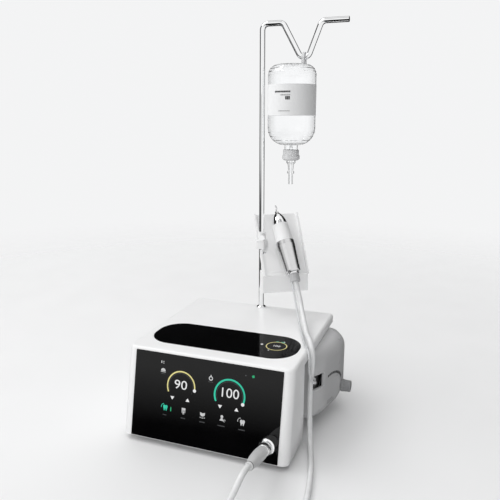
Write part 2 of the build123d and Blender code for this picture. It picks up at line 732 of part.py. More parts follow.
def plug_sleeve():
    """Grey grip that narrows to the bend relief."""
    return turned(
        PLUG,
        [(0, 24.1), (5.55, 24.1), (5.55, 20.3), (6.5, 20.3), (7.2, 24), (7.2, 32), (6.2, 48), (5.0, 58),
         (4.8, 60), (4.8, 61.5), (3.6, 61.5), (3.5, 65), (0, 65)],
    )


# --- cords --------------------------------------------------------------------------
def cord_rise_route():
    """From the handpiece's cord end over the deck's edge and down to the table."""
    start = HANDPIECE.from_local_coords(Vector(0, 0, -26))
    first = HANDPIECE.from_local_coords(Vector(0, 0, -38))
    points = [
        (71.6, 170.5, 131.6),
        (80.2, 151.5, 124.4),
        (87.6, 132.5, 120.4),
        (94.2, 114.5, 119.6),
        (102.4, 95.4, 121.5),
        (107.5, 86.5, 115.7),
        (110.5, 81.4, 105.4),
        (110.0, 79.6, 90.0),
        (108.7, 79.0, 69.0),
        (109.0, 77.4, 46.5),
        (110.8, 72.4, 28.5),
        (114.0, 63.2, 12.6),
        (118.2, 50.0, 4.6),
        (122.8, 34.0, CORD_LIFT),
        (127.8, 15.5, CORD_LIFT),
        (132.6, -9.0, CORD_LIFT),
        (137.0, -37.8, CORD_LIFT),
        (140.0, -67.0, CORD_LIFT),
        (139.6, -90.0, CORD_LIFT),
        (137.0, -107.0, CORD_LIFT),
    ]
    return [start, first] + [Vector(*p) for p in points]


def cord_front_route():
    """From the plug down to the table and into the coil."""
    start = PLUG.from_local_coords(Vector(0, 0, 65))
    first = PLUG.from_local_coords(Vector(0, 0, 75))
    points = [
        (79.0, -79.0, 37.8),
        (76.0, -86.6, 28.0),
        (71.0, -91.0, 17.2),
        (64.5, -92.6, 9.4),
        (58.8, -95.0, 5.4),
        (55.2, -100.0, 3.8),
        (54.2, -107.6, CORD_LIFT),
    ]
    return [start, first] + [Vector(*p) for p in points]


def water_tube_route():
    """Irrigation tube from the cord end to the pump's hose barb."""
    start = HANDPIECE.from_local_coords(Vector(-5.6, 0, -14.1))
    first = HANDPIECE.from_local_coords(Vector(-6.2, 0, -26))
    points = [
        (62.6, 174.0, 139.4),
        (69.0, 161.0, 127.6),
        (75.6, 146.5, 119.6),
        (82.8, 129.5, 115.6),
        (90.2, 111.0, 114.9),
        (97.0, 93.5, 115.4),
        (103.2, 80.0, 116.8),
        (107.8, 73.2, 112.6),
        (109.2, 70.6, 103.0),
        (109.0, 70.2, 92.0),
        (110.7, 71.8, 82.6),
        (113.2, 74.9, 76.4),
        (114.6, 80.4, 72.8),
        (113.0, 86.6, 71.6),
    ]
    return [start, first] + [Vector(*p) for p in points] + [BARB.origin]


def radii(points):
    """The largest tangent arc at each corner that its two runs allow."""
    found = []
    for a, b, c in zip(points, points[1:], points[2:]):
        before, after = b - a, c - b
        half_turn = math.radians(before.get_angle(after)) / 2
        found.append(0.45 * min(before.length, after.length) / math.tan(half_turn))
    return found


def cord_tube(points, diameter, name):
    """A round cord along straight runs joined by tangent arcs."""
    bends = radii(points)
    path = FilletPolyline(*points, radius=bends)
    section = Plane(origin=path @ 0, z_dir=path % 0) * Circle(diameter / 2)
    solid = sweep(section, path=path)
    expected = math.pi * diameter**2 / 4 * path.length
    print(name, "length", round(path.length, 1), "radii", [round(r) for r in bends])
    print(name, "volume against section times length", round(solid.volume / expected, 4))
    return solid


def above(solid, z):
    return solid & block(-300, 300, -300, 400, z, 600)


def below(solid, z):
    return solid & block(-300, 300, -300, 400, -50, z)


def cord_coil():
    up = Plane(origin=(COIL_X, COIL_Y, 0))
    return tube(up, COIL_R, COIL_HOLE_R, 0.1, COIL_H + 0.1)


# --- fasteners ----------------------------------------------------------------------
def screw(plane, head_r, head_h, shank_r, length, u=0.0, v=0.0):
    """Pan head with its underside in the plane and its shank below it."""
    head = rod(plane, head_r, 0, head_h, u, v)
    head -= plane * Pos(u, v, head_h) * (Box(head_r, 0.7, 1.2) + Box(0.7, head_r, 1.2))
    return head + rod(plane, shank_r, -length, 0, u, v)


def panel_screws():
    """Screws through the rear panel, heads outside."""
    back = Plane(origin=(0, REAR_PANEL_Y + 2.05, 0), x_dir=(-1, 0, 0), z_dir=(0, 1, 0))
    return Compound(
        children=[screw(back, 3.0, 1.9, 1.3, 1.2, -x, z) for x, z in PANEL_SCREWS]
    )


def finished_nodes():
    """Every node's solid in the drawing frame."""
    rise = cord_tube(cord_rise_route(), CORD_D, "handpiece cord")
    water = cord_tube(water_tube_route(), TUBE_D, "water tube")
    nodes = {
        "upper_shell": upper_shell(),
        "front_glass": front_glass(),
        "top_glass": top_glass(),
        "display_module": display_module(),
        "display_board": display_board(),
        "rear_chassis": rear_chassis(),
        "base_pan": base_pan(),
        "rubber_feet": rubber_feet(),
        "rear_panel": rear_panel(),
        "panel_screws": panel_screws(),
        "mains_inlet": mains_inlet(),
        "power_switch_body": power_switch_body(),
        "power_rocker": power_rocker(),
        "pedal_socket": pedal_socket(),
        "fan_frame": fan_frame(),
        "fan_rotor": fan_rotor(),
        "main_board": main_board(),
        "board_parts": board_parts(),
        "transformer": transformer(),
        "power_supply": power_supply(),
        "pump_housing": pump_housing(),
        "pump_bracket": pump_bracket(),
        "pump_motor": pump_motor(),
        "pump_tube": pump_tube(),
        "pump_rotor": pump_rotor(),
        "flow_knob": flow_knob(),
        "flow_valve": flow_valve(),
        "fluid_pole": fluid_pole(),
        "pole_ferrule": pole_ferrule(),
        "pole_socket": pole_socket(),
        "saline_bottle": saline_bottle(),
        "bottle_label": bottle_label(),
        "bottle_stopper": bottle_stopper(),
        "bottle_cap": bottle_cap(),
        "drip_spike": drip_spike(),
        "hanging_loop": hanging_loop(),
        "handpiece_cradle": handpiece_cradle(),
        "cradle_clamp": cradle_clamp(),
        "clamp_knob": clamp_knob(),
        "handpiece_grip": handpiece_grip(),
        "handpiece_sleeve": handpiece_sleeve(),
        "nose_cone": nose_cone(),
        "sonic_horn": sonic_horn(),
        "ceramic_stack": ceramic_stack(),
        "stack_bolt": stack_bolt(),
        "scaler_tip": scaler_tip(),
        "cord_connector": cord_connector(),
        "handpiece_socket": handpiece_socket(),
        "plug_core": plug_core(),
        "plug_ring": plug_ring(),
        "plug_sleeve": plug_sleeve(),
        "cord_rise_top": above(rise, SWIVEL_CUT_Z + RUN_GAP),
        "cord_rise": below(rise, SWIVEL_CUT_Z),
        "cord_front": cord_tube(cord_front_route(), CORD_D, "front cord"),
        "cord_coil": cord_coil(),
    }
    for n in range(ROLLERS):
        nodes[f"pump_roller_{n + 1}"] = pump_roller(n)
    nodes["water_tube_top"] = above(water, SWIVEL_CUT_Z + RUN_GAP)
    nodes["water_tube"] = below(water, SWIVEL_CUT_Z)
    return nodes


def write(nodes):
    os.makedirs("parts", exist_ok=True)
    for name, solid in nodes.items():
        export_step(Pos(-ORIGIN.X, -ORIGIN.Y, 0) * solid, f"parts/{name}.step")


if __name__ == "__main__":
    write(finished_nodes())
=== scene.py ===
import math

import bmesh
import bpy
from mathutils import Matrix, Vector
from mathutils.bvhtree import BVHTree


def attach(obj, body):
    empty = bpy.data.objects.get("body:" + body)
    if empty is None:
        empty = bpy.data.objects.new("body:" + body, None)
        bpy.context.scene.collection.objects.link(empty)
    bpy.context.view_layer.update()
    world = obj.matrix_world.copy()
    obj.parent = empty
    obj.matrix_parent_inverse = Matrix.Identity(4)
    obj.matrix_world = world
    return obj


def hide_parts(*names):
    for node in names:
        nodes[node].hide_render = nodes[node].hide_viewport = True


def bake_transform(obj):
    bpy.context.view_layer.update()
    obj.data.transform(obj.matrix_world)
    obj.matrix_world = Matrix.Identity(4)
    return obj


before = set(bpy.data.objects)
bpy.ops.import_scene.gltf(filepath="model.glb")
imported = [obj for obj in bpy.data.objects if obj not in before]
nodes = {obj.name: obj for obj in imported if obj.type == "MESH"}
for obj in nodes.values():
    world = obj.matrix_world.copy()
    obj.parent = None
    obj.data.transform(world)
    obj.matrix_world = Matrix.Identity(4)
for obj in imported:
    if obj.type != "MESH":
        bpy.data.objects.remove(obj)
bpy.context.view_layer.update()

MM = 0.001
scene = bpy.context.scene


# --- frames, in millimetres in the row frame ----------------------------------------
class Frame:
    """A place with three directions; at() turns local millimetres into metres."""

    def __init__(self, origin, x, z):
        self.o = Vector(origin)
        self.z = Vector(z).normalized()
        self.x = (Vector(x) - self.z * Vector(x).dot(self.z)).normalized()
        self.y = self.z.cross(self.x)

    def at(self, u, v, w=0.0):
        return (self.o + self.x * u + self.y * v + self.z * w) * MM

    def matrix(self, u=0.0, v=0.0, w=0.0):
        m = Matrix((self.x, self.y, self.z)).transposed().to_4x4()
        m.translation = self.at(u, v, w)
        return m


lean = math.radians(12)
SCREEN = Frame((0, -111, 8), (1, 0, 0), (0, -math.cos(lean), math.sin(lean)))
PLUG = Frame(SCREEN.at(80.4, 19.4) / MM, (1, 0, 0), SCREEN.z)
TOP = Frame((0, 0, 113.35), (1, 0, 0), (0, 0, 1))
# the cradle is turned and leans back, and the handpiece lies in it with a small splay
turn, tilt, splay = math.radians(34), math.radians(36), math.radians(5)
ACROSS = Vector((math.cos(turn), math.sin(turn), 0))
ALONG = Vector((-math.sin(tilt) * math.sin(turn), math.sin(tilt) * math.cos(turn), math.cos(tilt)))
FACE = ACROSS.cross(ALONG)
CRADLE = Vector((38.5, 95, 166))
TAIL = CRADLE + ACROSS * 5.6 + FACE * 16.6 - ALONG * 2
REACH = ALONG * math.cos(splay) - ACROSS * math.sin(splay)
HAND = Frame(TAIL, REACH.cross(FACE), REACH)


# --- camera and light ---------------------------------------------------------------
camera = bpy.data.objects.new("camera", bpy.data.cameras.new("camera"))
scene.collection.objects.link(camera)
camera.location = (0.2576, -0.6404, 0.3826)
camera.rotation_euler = (math.radians(90 - 13.21), 0, math.radians(20.36))
camera.data.lens = 40.7
camera.data.sensor_width = 36
scene.camera = camera
scene.view_settings.view_transform = "Standard"


LIT_POINT = Vector((0, 0, 0.1))


def area_light(name, place, size, power):
    """A square light that faces the console."""
    light = bpy.data.lights.new(name, "AREA")
    light.size = size
    light.energy = power
    holder = bpy.data.objects.new(name, light)
    scene.collection.objects.link(holder)
    holder.location = place
    holder.rotation_euler = (LIT_POINT - Vector(place)).to_track_quat("-Z", "Y").to_euler()


area_light("key", (-1.0, -0.1, 1.6), 1.0, 7.8)
area_light("fill", (-0.6, -1.6, 1.1), 1.4, 2.5)


def ramp(tree, stops, source):
    """Grey level from (position, level) stops."""
    node = tree.nodes.new("ShaderNodeValToRGB")
    first = node.color_ramp.elements
    first[0].position, first[0].color = stops[0][0], (*[stops[0][1]] * 3, 1)
    first[1].position, first[1].color = stops[-1][0], (*[stops[-1][1]] * 3, 1)
    for place, level in stops[1:-1]:
        first.new(place).color = (*[level] * 3, 1)
    tree.links.new(source, node.inputs[0])
    return node.outputs[0]


def maths(tree, kind, a, b=None):
    node = tree.nodes.new("ShaderNodeMath")
    node.operation = kind
    for socket, value in zip(node.inputs, (a, b)):
        if isinstance(value, (int, float)):
            socket.default_value = value
        elif value is not None:
            tree.links.new(value, socket)
    return node.outputs[0]


def studio_world():
    """White surroundings: dark at the back for gloss, grey flags for glass, a dark card for the screen."""
    world = bpy.data.worlds.new("studio")
    scene.world = world
    world.use_nodes = True
    tree = world.node_tree
    tree.nodes.clear()
    where = tree.nodes.new("ShaderNodeTexCoord")
    split = tree.nodes.new("ShaderNodeSeparateXYZ")
    tree.links.new(where.outputs["Generated"], split.inputs[0])
    around = maths(tree, "ARCTAN2", split.outputs["Y"], split.outputs["X"])
    around = maths(tree, "ADD", maths(tree, "DIVIDE", around, 2 * math.pi), 0.5)
    flags = ramp(
        tree,
        [(0.0, 0.42), (0.08, 1.0), (0.54, 1.0), (0.6, 0.42), (0.7, 0.42), (0.74, 1.0), (0.86, 1.0),
         (0.9, 0.42), (1.0, 0.42)],
        around,
    )
    card = ramp(tree, [(0.06, 0.0), (0.12, 1.0), (0.24, 1.0), (0.275, 0.0)], around)
    height = maths(tree, "MULTIPLY", maths(tree, "ADD", split.outputs["Z"], 1.0), 0.5)
    low = ramp(tree, [(0.425, 1.0), (0.47, 0.32)], height)
    high = ramp(tree, [(0.86, 0.0), (0.93, 1.0)], height)
    card = maths(tree, "SUBTRACT", 1.0, maths(tree, "MULTIPLY", card, low))
    behind = ramp(
        tree,
        [(0.0, 0.02), (0.045, 0.02), (0.1, 1.0), (0.53, 1.0), (0.6, 0.02), (1.0, 0.02)],
        around,
    )
    gloss = maths(tree, "MULTIPLY", maths(tree, "MAXIMUM", behind, high), card)
    path = tree.nodes.new("ShaderNodeLightPath")
    pick = tree.nodes.new("ShaderNodeMix")
    tree.links.new(path.outputs["Is Transmission Ray"], pick.inputs["Factor"])
    tree.links.new(gloss, pick.inputs["A"])
    tree.links.new(maths(tree, "MAXIMUM", flags, high), pick.inputs["B"])
    level = pick.outputs["Result"]
    plain = tree.nodes.new("ShaderNodeBackground")
    plain.inputs[0].default_value = (0.9, 0.903, 0.908, 1)
    shade = ramp(tree, [(0.3, 1.04), (0.4, 0.04), (0.62, 0.04), (0.72, 1.04)], around)
    soft = tree.nodes.new("ShaderNodeBackground")
    tree.links.new(maths(tree, "MAXIMUM", shade, maths(tree, "MULTIPLY", high, 1.1)), soft.inputs[0])
    shaped = tree.nodes.new("ShaderNodeBackground")
    tree.links.new(level, shaped.inputs[0])
    last = shaped.outputs[0]
    for kind, light in (("Is Diffuse Ray", soft), ("Is Camera Ray", plain)):
        mix = tree.nodes.new("ShaderNodeMixShader")
        tree.links.new(path.outputs[kind], mix.inputs[0])
        tree.links.new(last, mix.inputs[1])
        tree.links.new(light.outputs[0], mix.inputs[2])
        last = mix.outputs[0]
    out = tree.nodes.new("ShaderNodeOutputWorld")
    tree.links.new(last, out.inputs[0])


studio_world()


# --- materials ----------------------------------------------------------------------
def surface(name, colour, rough, metal=0.0, vary=0.05, patch=45.0, grain=1800.0, bump=0.06,
            rough_vary=0.06, stretch=(1, 1, 1), coat=0.0, clear=0.0, ior=1.45,
            specular=0.5, second=None, lamp=False):
    """Principled material with patchy colour, uneven gloss and a fine raised grain."""
    mat = bpy.data.materials.new(name)
    mat.use_nodes = True
    tree = mat.node_tree
    shader = tree.nodes["Principled BSDF"]
    where = tree.nodes.new("ShaderNodeTexCoord")
    scale = tree.nodes.new("ShaderNodeMapping")
    scale.inputs["Scale"].default_value = stretch
    tree.links.new(where.outputs["Object"], scale.inputs[0])

    def noise(size, detail, rough_amount=0.55):
        node = tree.nodes.new("ShaderNodeTexNoise")
        node.inputs["Scale"].default_value = size
        node.inputs["Detail"].default_value = detail
        node.inputs["Roughness"].default_value = rough_amount
        tree.links.new(scale.outputs[0], node.inputs["Vector"])
        return node.outputs["Fac"]

    def spread(source, low, high):
        node = tree.nodes.new("ShaderNodeMapRange")
        node.inputs["From Min"].default_value = 0.3
        node.inputs["From Max"].default_value = 0.7
        node.inputs["To Min"].default_value = low
        node.inputs["To Max"].default_value = high
        tree.links.new(source, node.inputs["Value"])
        return node.outputs[0]

    mix = tree.nodes.new("ShaderNodeMix")
    mix.data_type = "RGBA"
    dark = second or tuple(c * (1 - vary) for c in colour)
    mix.inputs["A"].default_value = (*dark, 1)
    mix.inputs["B"].default_value = (*[min(1.0, c * (1 + vary)) for c in colour], 1)
    tree.links.new(spread(noise(patch, 5.0), 0.0, 1.0), mix.inputs["Factor"])
    if lamp:
        shader.inputs["Base Color"].default_value = (0.01, 0.01, 0.01, 1)
    else:
        tree.links.new(mix.outputs["Result"], shader.inputs["Base Color"])
    tree.links.new(
        spread(noise(patch * 5, 3.0), max(0.0, rough - rough_vary), rough + rough_vary),
        shader.inputs["Roughness"],
    )
    lift = tree.nodes.new("ShaderNodeBump")
    lift.inputs["Strength"].default_value = bump
    lift.inputs["Distance"].default_value = 0.0002
    tree.links.new(noise(grain, 2.0), lift.inputs["Height"])
    tree.links.new(lift.outputs[0], shader.inputs["Normal"])
    shader.inputs["Metallic"].default_value = metal
    shader.inputs["IOR"].default_value = ior
    shader.inputs["Specular IOR Level"].default_value = specular
    shader.inputs["Coat Weight"].default_value = coat
    shader.inputs["Coat Roughness"].default_value = 0.08
    shader.inputs["Transmission Weight"].default_value = clear
    if lamp:
        tree.links.new(mix.outputs["Result"], shader.inputs["Emission Color"])
        shader.inputs["Emission Strength"].default_value = 1.0
    return mat


M = {
    "shell": surface("shell_white", (0.87, 0.872, 0.875), 0.3, vary=0.012, patch=20, grain=1500, bump=0.008,
                     rough_vary=0.02),
    "chassis": surface("chassis_white", (0.72, 0.722, 0.73), 0.4, vary=0.03, grain=2200, bump=0.1),
    "pod": surface("pod_grey", (0.5, 0.502, 0.508), 0.3, vary=0.03, patch=22, grain=1500, bump=0.012,
                   rough_vary=0.03),
    "frame_grey": surface("frame_grey", (0.5, 0.503, 0.51), 0.3, vary=0.04, patch=60, bump=0.02),
    "glass": surface("black_glass", (0.0018, 0.0018, 0.002), 0.05, vary=0.25, patch=25, bump=0.0,
                     rough_vary=0.02),
    "top_glass": surface("top_black_glass", (0.0018, 0.0018, 0.002), 0.07, vary=0.25, patch=25,
                         bump=0.0, rough_vary=0.02, specular=0.07),
    "tin": surface("zinc_sheet", (0.55, 0.56, 0.57), 0.36, metal=1.0, vary=0.12, patch=120, grain=1200,
                   bump=0.1),
    "board": surface("circuit_green", (0.02, 0.13, 0.05), 0.38, vary=0.35, patch=240, grain=900, bump=0.25,
                     coat=0.3),
    "dark": surface("dark_parts", (0.035, 0.036, 0.04), 0.42, vary=0.3, patch=160, grain=1500, bump=0.12),
    "core": surface("laminated_core", (0.12, 0.12, 0.13), 0.45, metal=0.6, vary=0.3, patch=90,
                    stretch=(6, 1, 1), bump=0.25, second=(0.25, 0.12, 0.05)),
    "rubber": surface("foot_rubber", (0.028, 0.028, 0.03), 0.75, vary=0.2, grain=1300, bump=0.3),
    "panel": surface("rear_paint", (0.5, 0.505, 0.515), 0.48, vary=0.05, grain=1400, bump=0.22),
    "screw": surface("steel_screw", (0.6, 0.6, 0.61), 0.25, metal=1.0, vary=0.1, patch=300, bump=0.08),
    "black": surface("black_plastic", (0.016, 0.016, 0.018), 0.36, vary=0.25, grain=1700, bump=0.14),
    "rocker": surface("rocker_gloss", (0.02, 0.02, 0.022), 0.16, vary=0.2, grain=2400, bump=0.05, coat=0.4),
    "chrome": surface("chrome", (0.88, 0.885, 0.89), 0.045, metal=1.0, vary=0.02, patch=60, grain=1500,
                      bump=0.002, rough_vary=0.02),
    "brushed": surface("brushed_steel", (0.66, 0.665, 0.67), 0.22, metal=1.0, vary=0.06, patch=70, grain=900,
                       stretch=(1, 1, 6), bump=0.1),
    "grey": surface("grey_plastic", (0.27, 0.273, 0.278), 0.34, vary=0.08, grain=2000, bump=0.05),
    "satin": surface("satin_sleeve", (0.74, 0.743, 0.748), 0.42, metal=0.3, vary=0.05, patch=90, grain=1700,
                     bump=0.03, rough_vary=0.04),
    "silicone": surface("silicone_tube", (0.78, 0.79, 0.8), 0.32, vary=0.06, patch=60, bump=0.06, clear=0.35,
                        ior=1.41),
    "white": surface("white_plastic", (0.88, 0.882, 0.886), 0.3, vary=0.012, patch=30, grain=1500, bump=0.01,
                     rough_vary=0.02),
    # the tray's white is a brighter copy of white_plastic, the clamp's plastic: painted light for the light
    # the tray catches
    "tray_painted_light": surface("brighter_white_painted_light", (0.95, 0.952, 0.955), 0.34, vary=0.01, patch=30, grain=1500, bump=0.01,
                    rough_vary=0.02),
    "clear": surface("clear_bottle", (0.965, 0.97, 0.975), 0.03, vary=0.01, patch=18, grain=260, bump=0.015,
                     rough_vary=0.015, clear=1.0, ior=1.42),
    "label": surface("label_paper", (0.8, 0.805, 0.81), 0.6, vary=0.03, patch=22, grain=1500, bump=0.08),
    "ink": surface("label_ink", (0.03, 0.03, 0.032), 0.55, vary=0.3, patch=400, bump=0.05),
    "stopper": surface("grey_stopper", (0.3, 0.3, 0.31), 0.65, vary=0.12, bump=0.15),
    "cap": surface("frosted_cap", (0.86, 0.865, 0.875), 0.22, vary=0.03, patch=90, bump=0.06, clear=0.25,
                   ior=1.42),
    "grip": surface("satin_grip", (0.68, 0.68, 0.685), 0.21, metal=1.0, vary=0.03, patch=40, grain=1500,
                    bump=0.008, rough_vary=0.03),
    "titanium": surface("titanium", (0.42, 0.41, 0.4), 0.3, metal=1.0, vary=0.1, patch=140, bump=0.1),
    "ceramic": surface("piezo_ceramic", (0.5, 0.46, 0.36), 0.55, vary=0.1, patch=180, bump=0.2),
    "tip": surface("polished_tip", (0.7, 0.7, 0.71), 0.12, metal=1.0, vary=0.05, patch=200, bump=0.02),
    "cord": surface("cord_silicone", (0.77, 0.775, 0.78), 0.36, vary=0.04, patch=120, grain=1600, bump=0.08),
    "relief": surface("grey_relief", (0.2, 0.203, 0.208), 0.4, vary=0.1, patch=120, grain=1500, bump=0.12),
    "amber": surface("lit_amber", (0.73, 0.66, 0.27), 0.3, vary=0.1, patch=60, bump=0.0, lamp=True),
    "teal": surface("lit_teal", (0.025, 0.52, 0.34), 0.3, vary=0.14, patch=50, bump=0.0, lamp=True),
    "lit": surface("lit_white", (0.8, 0.805, 0.81), 0.3, vary=0.05, patch=300, bump=0.0, lamp=True),
    "icon": surface("lit_icon", (0.56, 0.565, 0.57), 0.3, vary=0.12, patch=400, bump=0.0, lamp=True),
    "dim": surface("lit_grey", (0.06, 0.063, 0.066), 0.3, vary=0.3, patch=500, bump=0.0, lamp=True),
    "green": surface("lit_green", (0.02, 0.4, 0.17), 0.3, vary=0.2, patch=300, bump=0.0, lamp=True),
    "print": surface("dark_print", (0.02, 0.02, 0.022), 0.5, vary=0.3, patch=400, bump=0.03),
    "print_grey": surface("grey_print", (0.16, 0.163, 0.168), 0.5, vary=0.15, patch=400, bump=0.03),
}

FINISH = {
    "upper_shell": "shell", "front_glass": "glass", "top_glass": "top_glass", "display_module": "tin",
    "display_board": "board", "rear_chassis": "chassis", "base_pan": "tin", "rubber_feet": "rubber",
    "rear_panel": "panel", "panel_screws": "screw", "mains_inlet": "black", "power_switch_body": "black",
    "power_rocker": "rocker", "pedal_socket": "brushed", "fan_frame": "black", "fan_rotor": "dark",
    "main_board": "board", "board_parts": "dark", "transformer": "core", "power_supply": "tin",
    "pump_housing": "pod", "pump_bracket": "white", "pump_motor": "brushed", "pump_tube": "silicone",
    "pump_rotor": "grey", "pump_roller_1": "white", "pump_roller_2": "white", "pump_roller_3": "white",
    "flow_knob": "grey", "flow_valve": "dark", "pole_ferrule": "chrome", "pole_socket": "tin",
    "handpiece_socket": "chrome", "plug_core": "brushed", "fluid_pole": "chrome",
    "handpiece_cradle": "tray_painted_light", "cradle_clamp": "white", "clamp_knob": "chrome", "cord_connector": "relief",
    "saline_bottle": "clear", "bottle_label": "label", "bottle_stopper": "stopper", "bottle_cap": "cap",
    "drip_spike": "clear", "hanging_loop": "cap", "handpiece_grip": "grip", "handpiece_sleeve": "white",
    "nose_cone": "chrome", "sonic_horn": "titanium", "ceramic_stack": "ceramic", "stack_bolt": "brushed",
    "scaler_tip": "tip", "plug_ring": "chrome", "plug_sleeve": "satin", "cord_rise": "cord",
    "cord_front": "cord", "cord_coil": "cord", "cord_rise_top": "cord", "water_tube": "silicone",
    "water_tube_top": "silicone",
}
for node_name, finish in FINISH.items():
    mesh = nodes[node_name].data
    for index in range(len(mesh.materials)):
        mesh.materials[index] = M[finish]


# --- mesh helpers -------------------------------------------------------------------
def piece(name, mesh, body, finish, sharp=35.0):
    """Links a mesh as a piece that rides a body."""
    mesh.materials.append(M[finish])
    for face in mesh.polygons:
        face.use_smooth = True
    mesh.set_sharp_from_angle(angle=math.radians(sharp))
    thing = bpy.data.objects.new(name, mesh)
    scene.collection.objects.link(thing)
    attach(thing, body)
    return thing


def surface_tree(node):
    """For finding points on a CAD node's surface."""
    source = nodes[node].data
    return BVHTree.FromPolygons([v.co for v in source.vertices], [tuple(p.vertices) for p in source.polygons])


def made(name, points, faces):
    """Mesh with its normals facing out."""
    mesh = bpy.data.meshes.new(name)
    mesh.from_pydata([tuple(p) for p in points], [], faces)
    tidy = bmesh.new()
    tidy.from_mesh(mesh)
    bmesh.ops.recalc_face_normals(tidy, faces=tidy.faces)
    tidy.to_mesh(mesh)
    tidy.free()
    return mesh


def lathe(name, place, profile, sides=72, flutes=None):
    """Turned mesh from (radius, height) pairs; flutes(height, angle) adds to the radius."""
    points, faces = [], []
    for radius, height in profile:
        for n in range(sides):
            a = 2 * math.pi * n / sides
            r = radius + (flutes(height, a) if flutes else 0.0)
            points.append(place.at(r * math.cos(a), r * math.sin(a), height))
    rows = len(profile)
    for row in range(rows - 1):
        for n in range(sides):
            m = (n + 1) % sides
            faces.append((row * sides + n, row * sides + m, (row + 1) * sides + m, (row + 1) * sides + n))
    faces.append(tuple(range(sides)))
    faces.append(tuple((rows - 1) * sides + n for n in range(sides)))
    return made(name, points, faces)


def smooth_line(name, points):
    """Points of the smooth curve that has the route's points as its control points."""
    data = bpy.data.curves.new(name, "CURVE")
    data.dimensions = "3D"
    data.resolution_u = 7
    line = data.splines.new("NURBS")
    line.points.add(len(points) - 1)
    for control, p in zip(line.points, points):
        control.co = (*p, 1)
    line.order_u = 3
    line.use_endpoint_u = True
    holder = bpy.data.objects.new(name, data)
    scene.collection.objects.link(holder)
    bpy.context.view_layer.update()
    sampled = bpy.data.meshes.new_from_object(holder)
    places = [v.co.copy() for v in sampled.vertices]
    bpy.data.objects.remove(holder)
    return places


def tube_mesh(name, line, radius, sides):
    """A round tube along a line, its ends closed by flat caps."""
    points, faces = [], []
    side = None
    for i, p in enumerate(line):
        ahead = (line[min(i + 1, len(line) - 1)] - line[max(i - 1, 0)]).normalized()
        if side is None:
            side = ahead.orthogonal().normalized()
        side = (side - ahead * side.dot(ahead)).normalized()
        other = ahead.cross(side)
        for n in range(sides):
            a = 2 * math.pi * n / sides
            points.append(p + (side * math.cos(a) + other * math.sin(a)) * radius)
    for i in range(len(line) - 1):
        for n in range(sides):
            m = (n + 1) % sides
            faces.append((i * sides + n, i * sides + m, (i + 1) * sides + m, (i + 1) * sides + n))
    faces.append(tuple(range(sides)))
    faces.append(tuple((len(line) - 1) * sides + n for n in range(sides)))
    return made(name, points, faces)


# --- cords, with the plug and the connector at their ends ---------------------------
LOW = 3.3  # height of the cord's centre where it lies on the table
CORD_WIDTH = 6.4
CORD_RADIUS, TUBE_RADIUS = 0.0032, 0.0015
FRONT_POINTS = [
    (79.0, -190.0, 37.8), (76.0, -197.6, 28.0), (71.0, -202.0, 17.2), (64.5, -203.6, 9.4),
    (58.8, -206.0, 5.4), (55.2, -211.0, 3.8), (54.2, -218.6, LOW),
]
RISE_POINTS = [
    (71.6, 59.5, 131.6), (80.2, 40.5, 124.4), (87.6, 21.5, 120.4), (94.2, 3.5, 119.6),
    (102.4, -15.6, 121.5), (107.5, -24.5, 115.7), (110.5, -29.6, 105.4), (110.0, -31.4, 90.0),
    (108.7, -32.0, 69.0), (109.0, -33.6, 46.5), (110.8, -38.6, 28.5), (114.0, -47.8, 12.6),
    (118.2, -61.0, 4.6), (122.8, -77.0, LOW), (127.8, -95.5, LOW), (132.6, -120.0, LOW),
    (137.0, -148.8, LOW), (140.0, -178.0, LOW), (139.8, -201.0, 4.2), (138.4, -218.0, 8.2),
]
TUBE_POINTS = [
    (62.6, 63.0, 139.4), (69.0, 50.0, 127.6), (75.6, 35.5, 119.6), (82.8, 18.5, 115.6),
    (90.2, 0.0, 114.9), (97.0, -17.5, 115.4), (103.2, -31.0, 116.8), (107.8, -37.8, 112.6),
    (109.2, -40.4, 103.0), (109.0, -40.8, 92.0), (110.7, -39.2, 82.6), (113.2, -36.1, 76.4),
    (114.6, -30.6, 72.8), (113.0, -24.4, 71.6), (109.9, -19.0, 71.5),
]
COIL_TURNS, TURN_POINTS = 5.5, 16
COIL_X, COIL_Y, COIL_RADIUS, COIL_SPREAD = 96, -234, 41.4, 1.012


def step(value, low, high):
    """Smooth rise from 0 to 1 between two values."""
    t = min(1.0, max(0.0, (value - low) / (high - low)))
    return t * t * (3 - 2 * t)


def coil_points():
    """Three rings inwards on the table, then three outwards on top of them."""
    points = []
    count = round(COIL_TURNS * TURN_POINTS)
    for n in range(count + 1):
        angle = 180 + 360 * n / TURN_POINTS
        inward = step(angle, 480, 520) + step(angle, 840, 880)
        outward = step(angle, 1500, 1540) + step(angle, 1860, 1900)
        ring = COIL_SPREAD * (COIL_RADIUS - CORD_WIDTH * (inward - outward))
        z = LOW + CORD_WIDTH * step(angle, 1180, 1240)
        a = math.radians(angle)
        points.append((COIL_X + ring * math.cos(a), COIL_Y + ring * math.sin(a), z))
    return points


def metres(points):
    return [Vector(p) * MM for p in points]


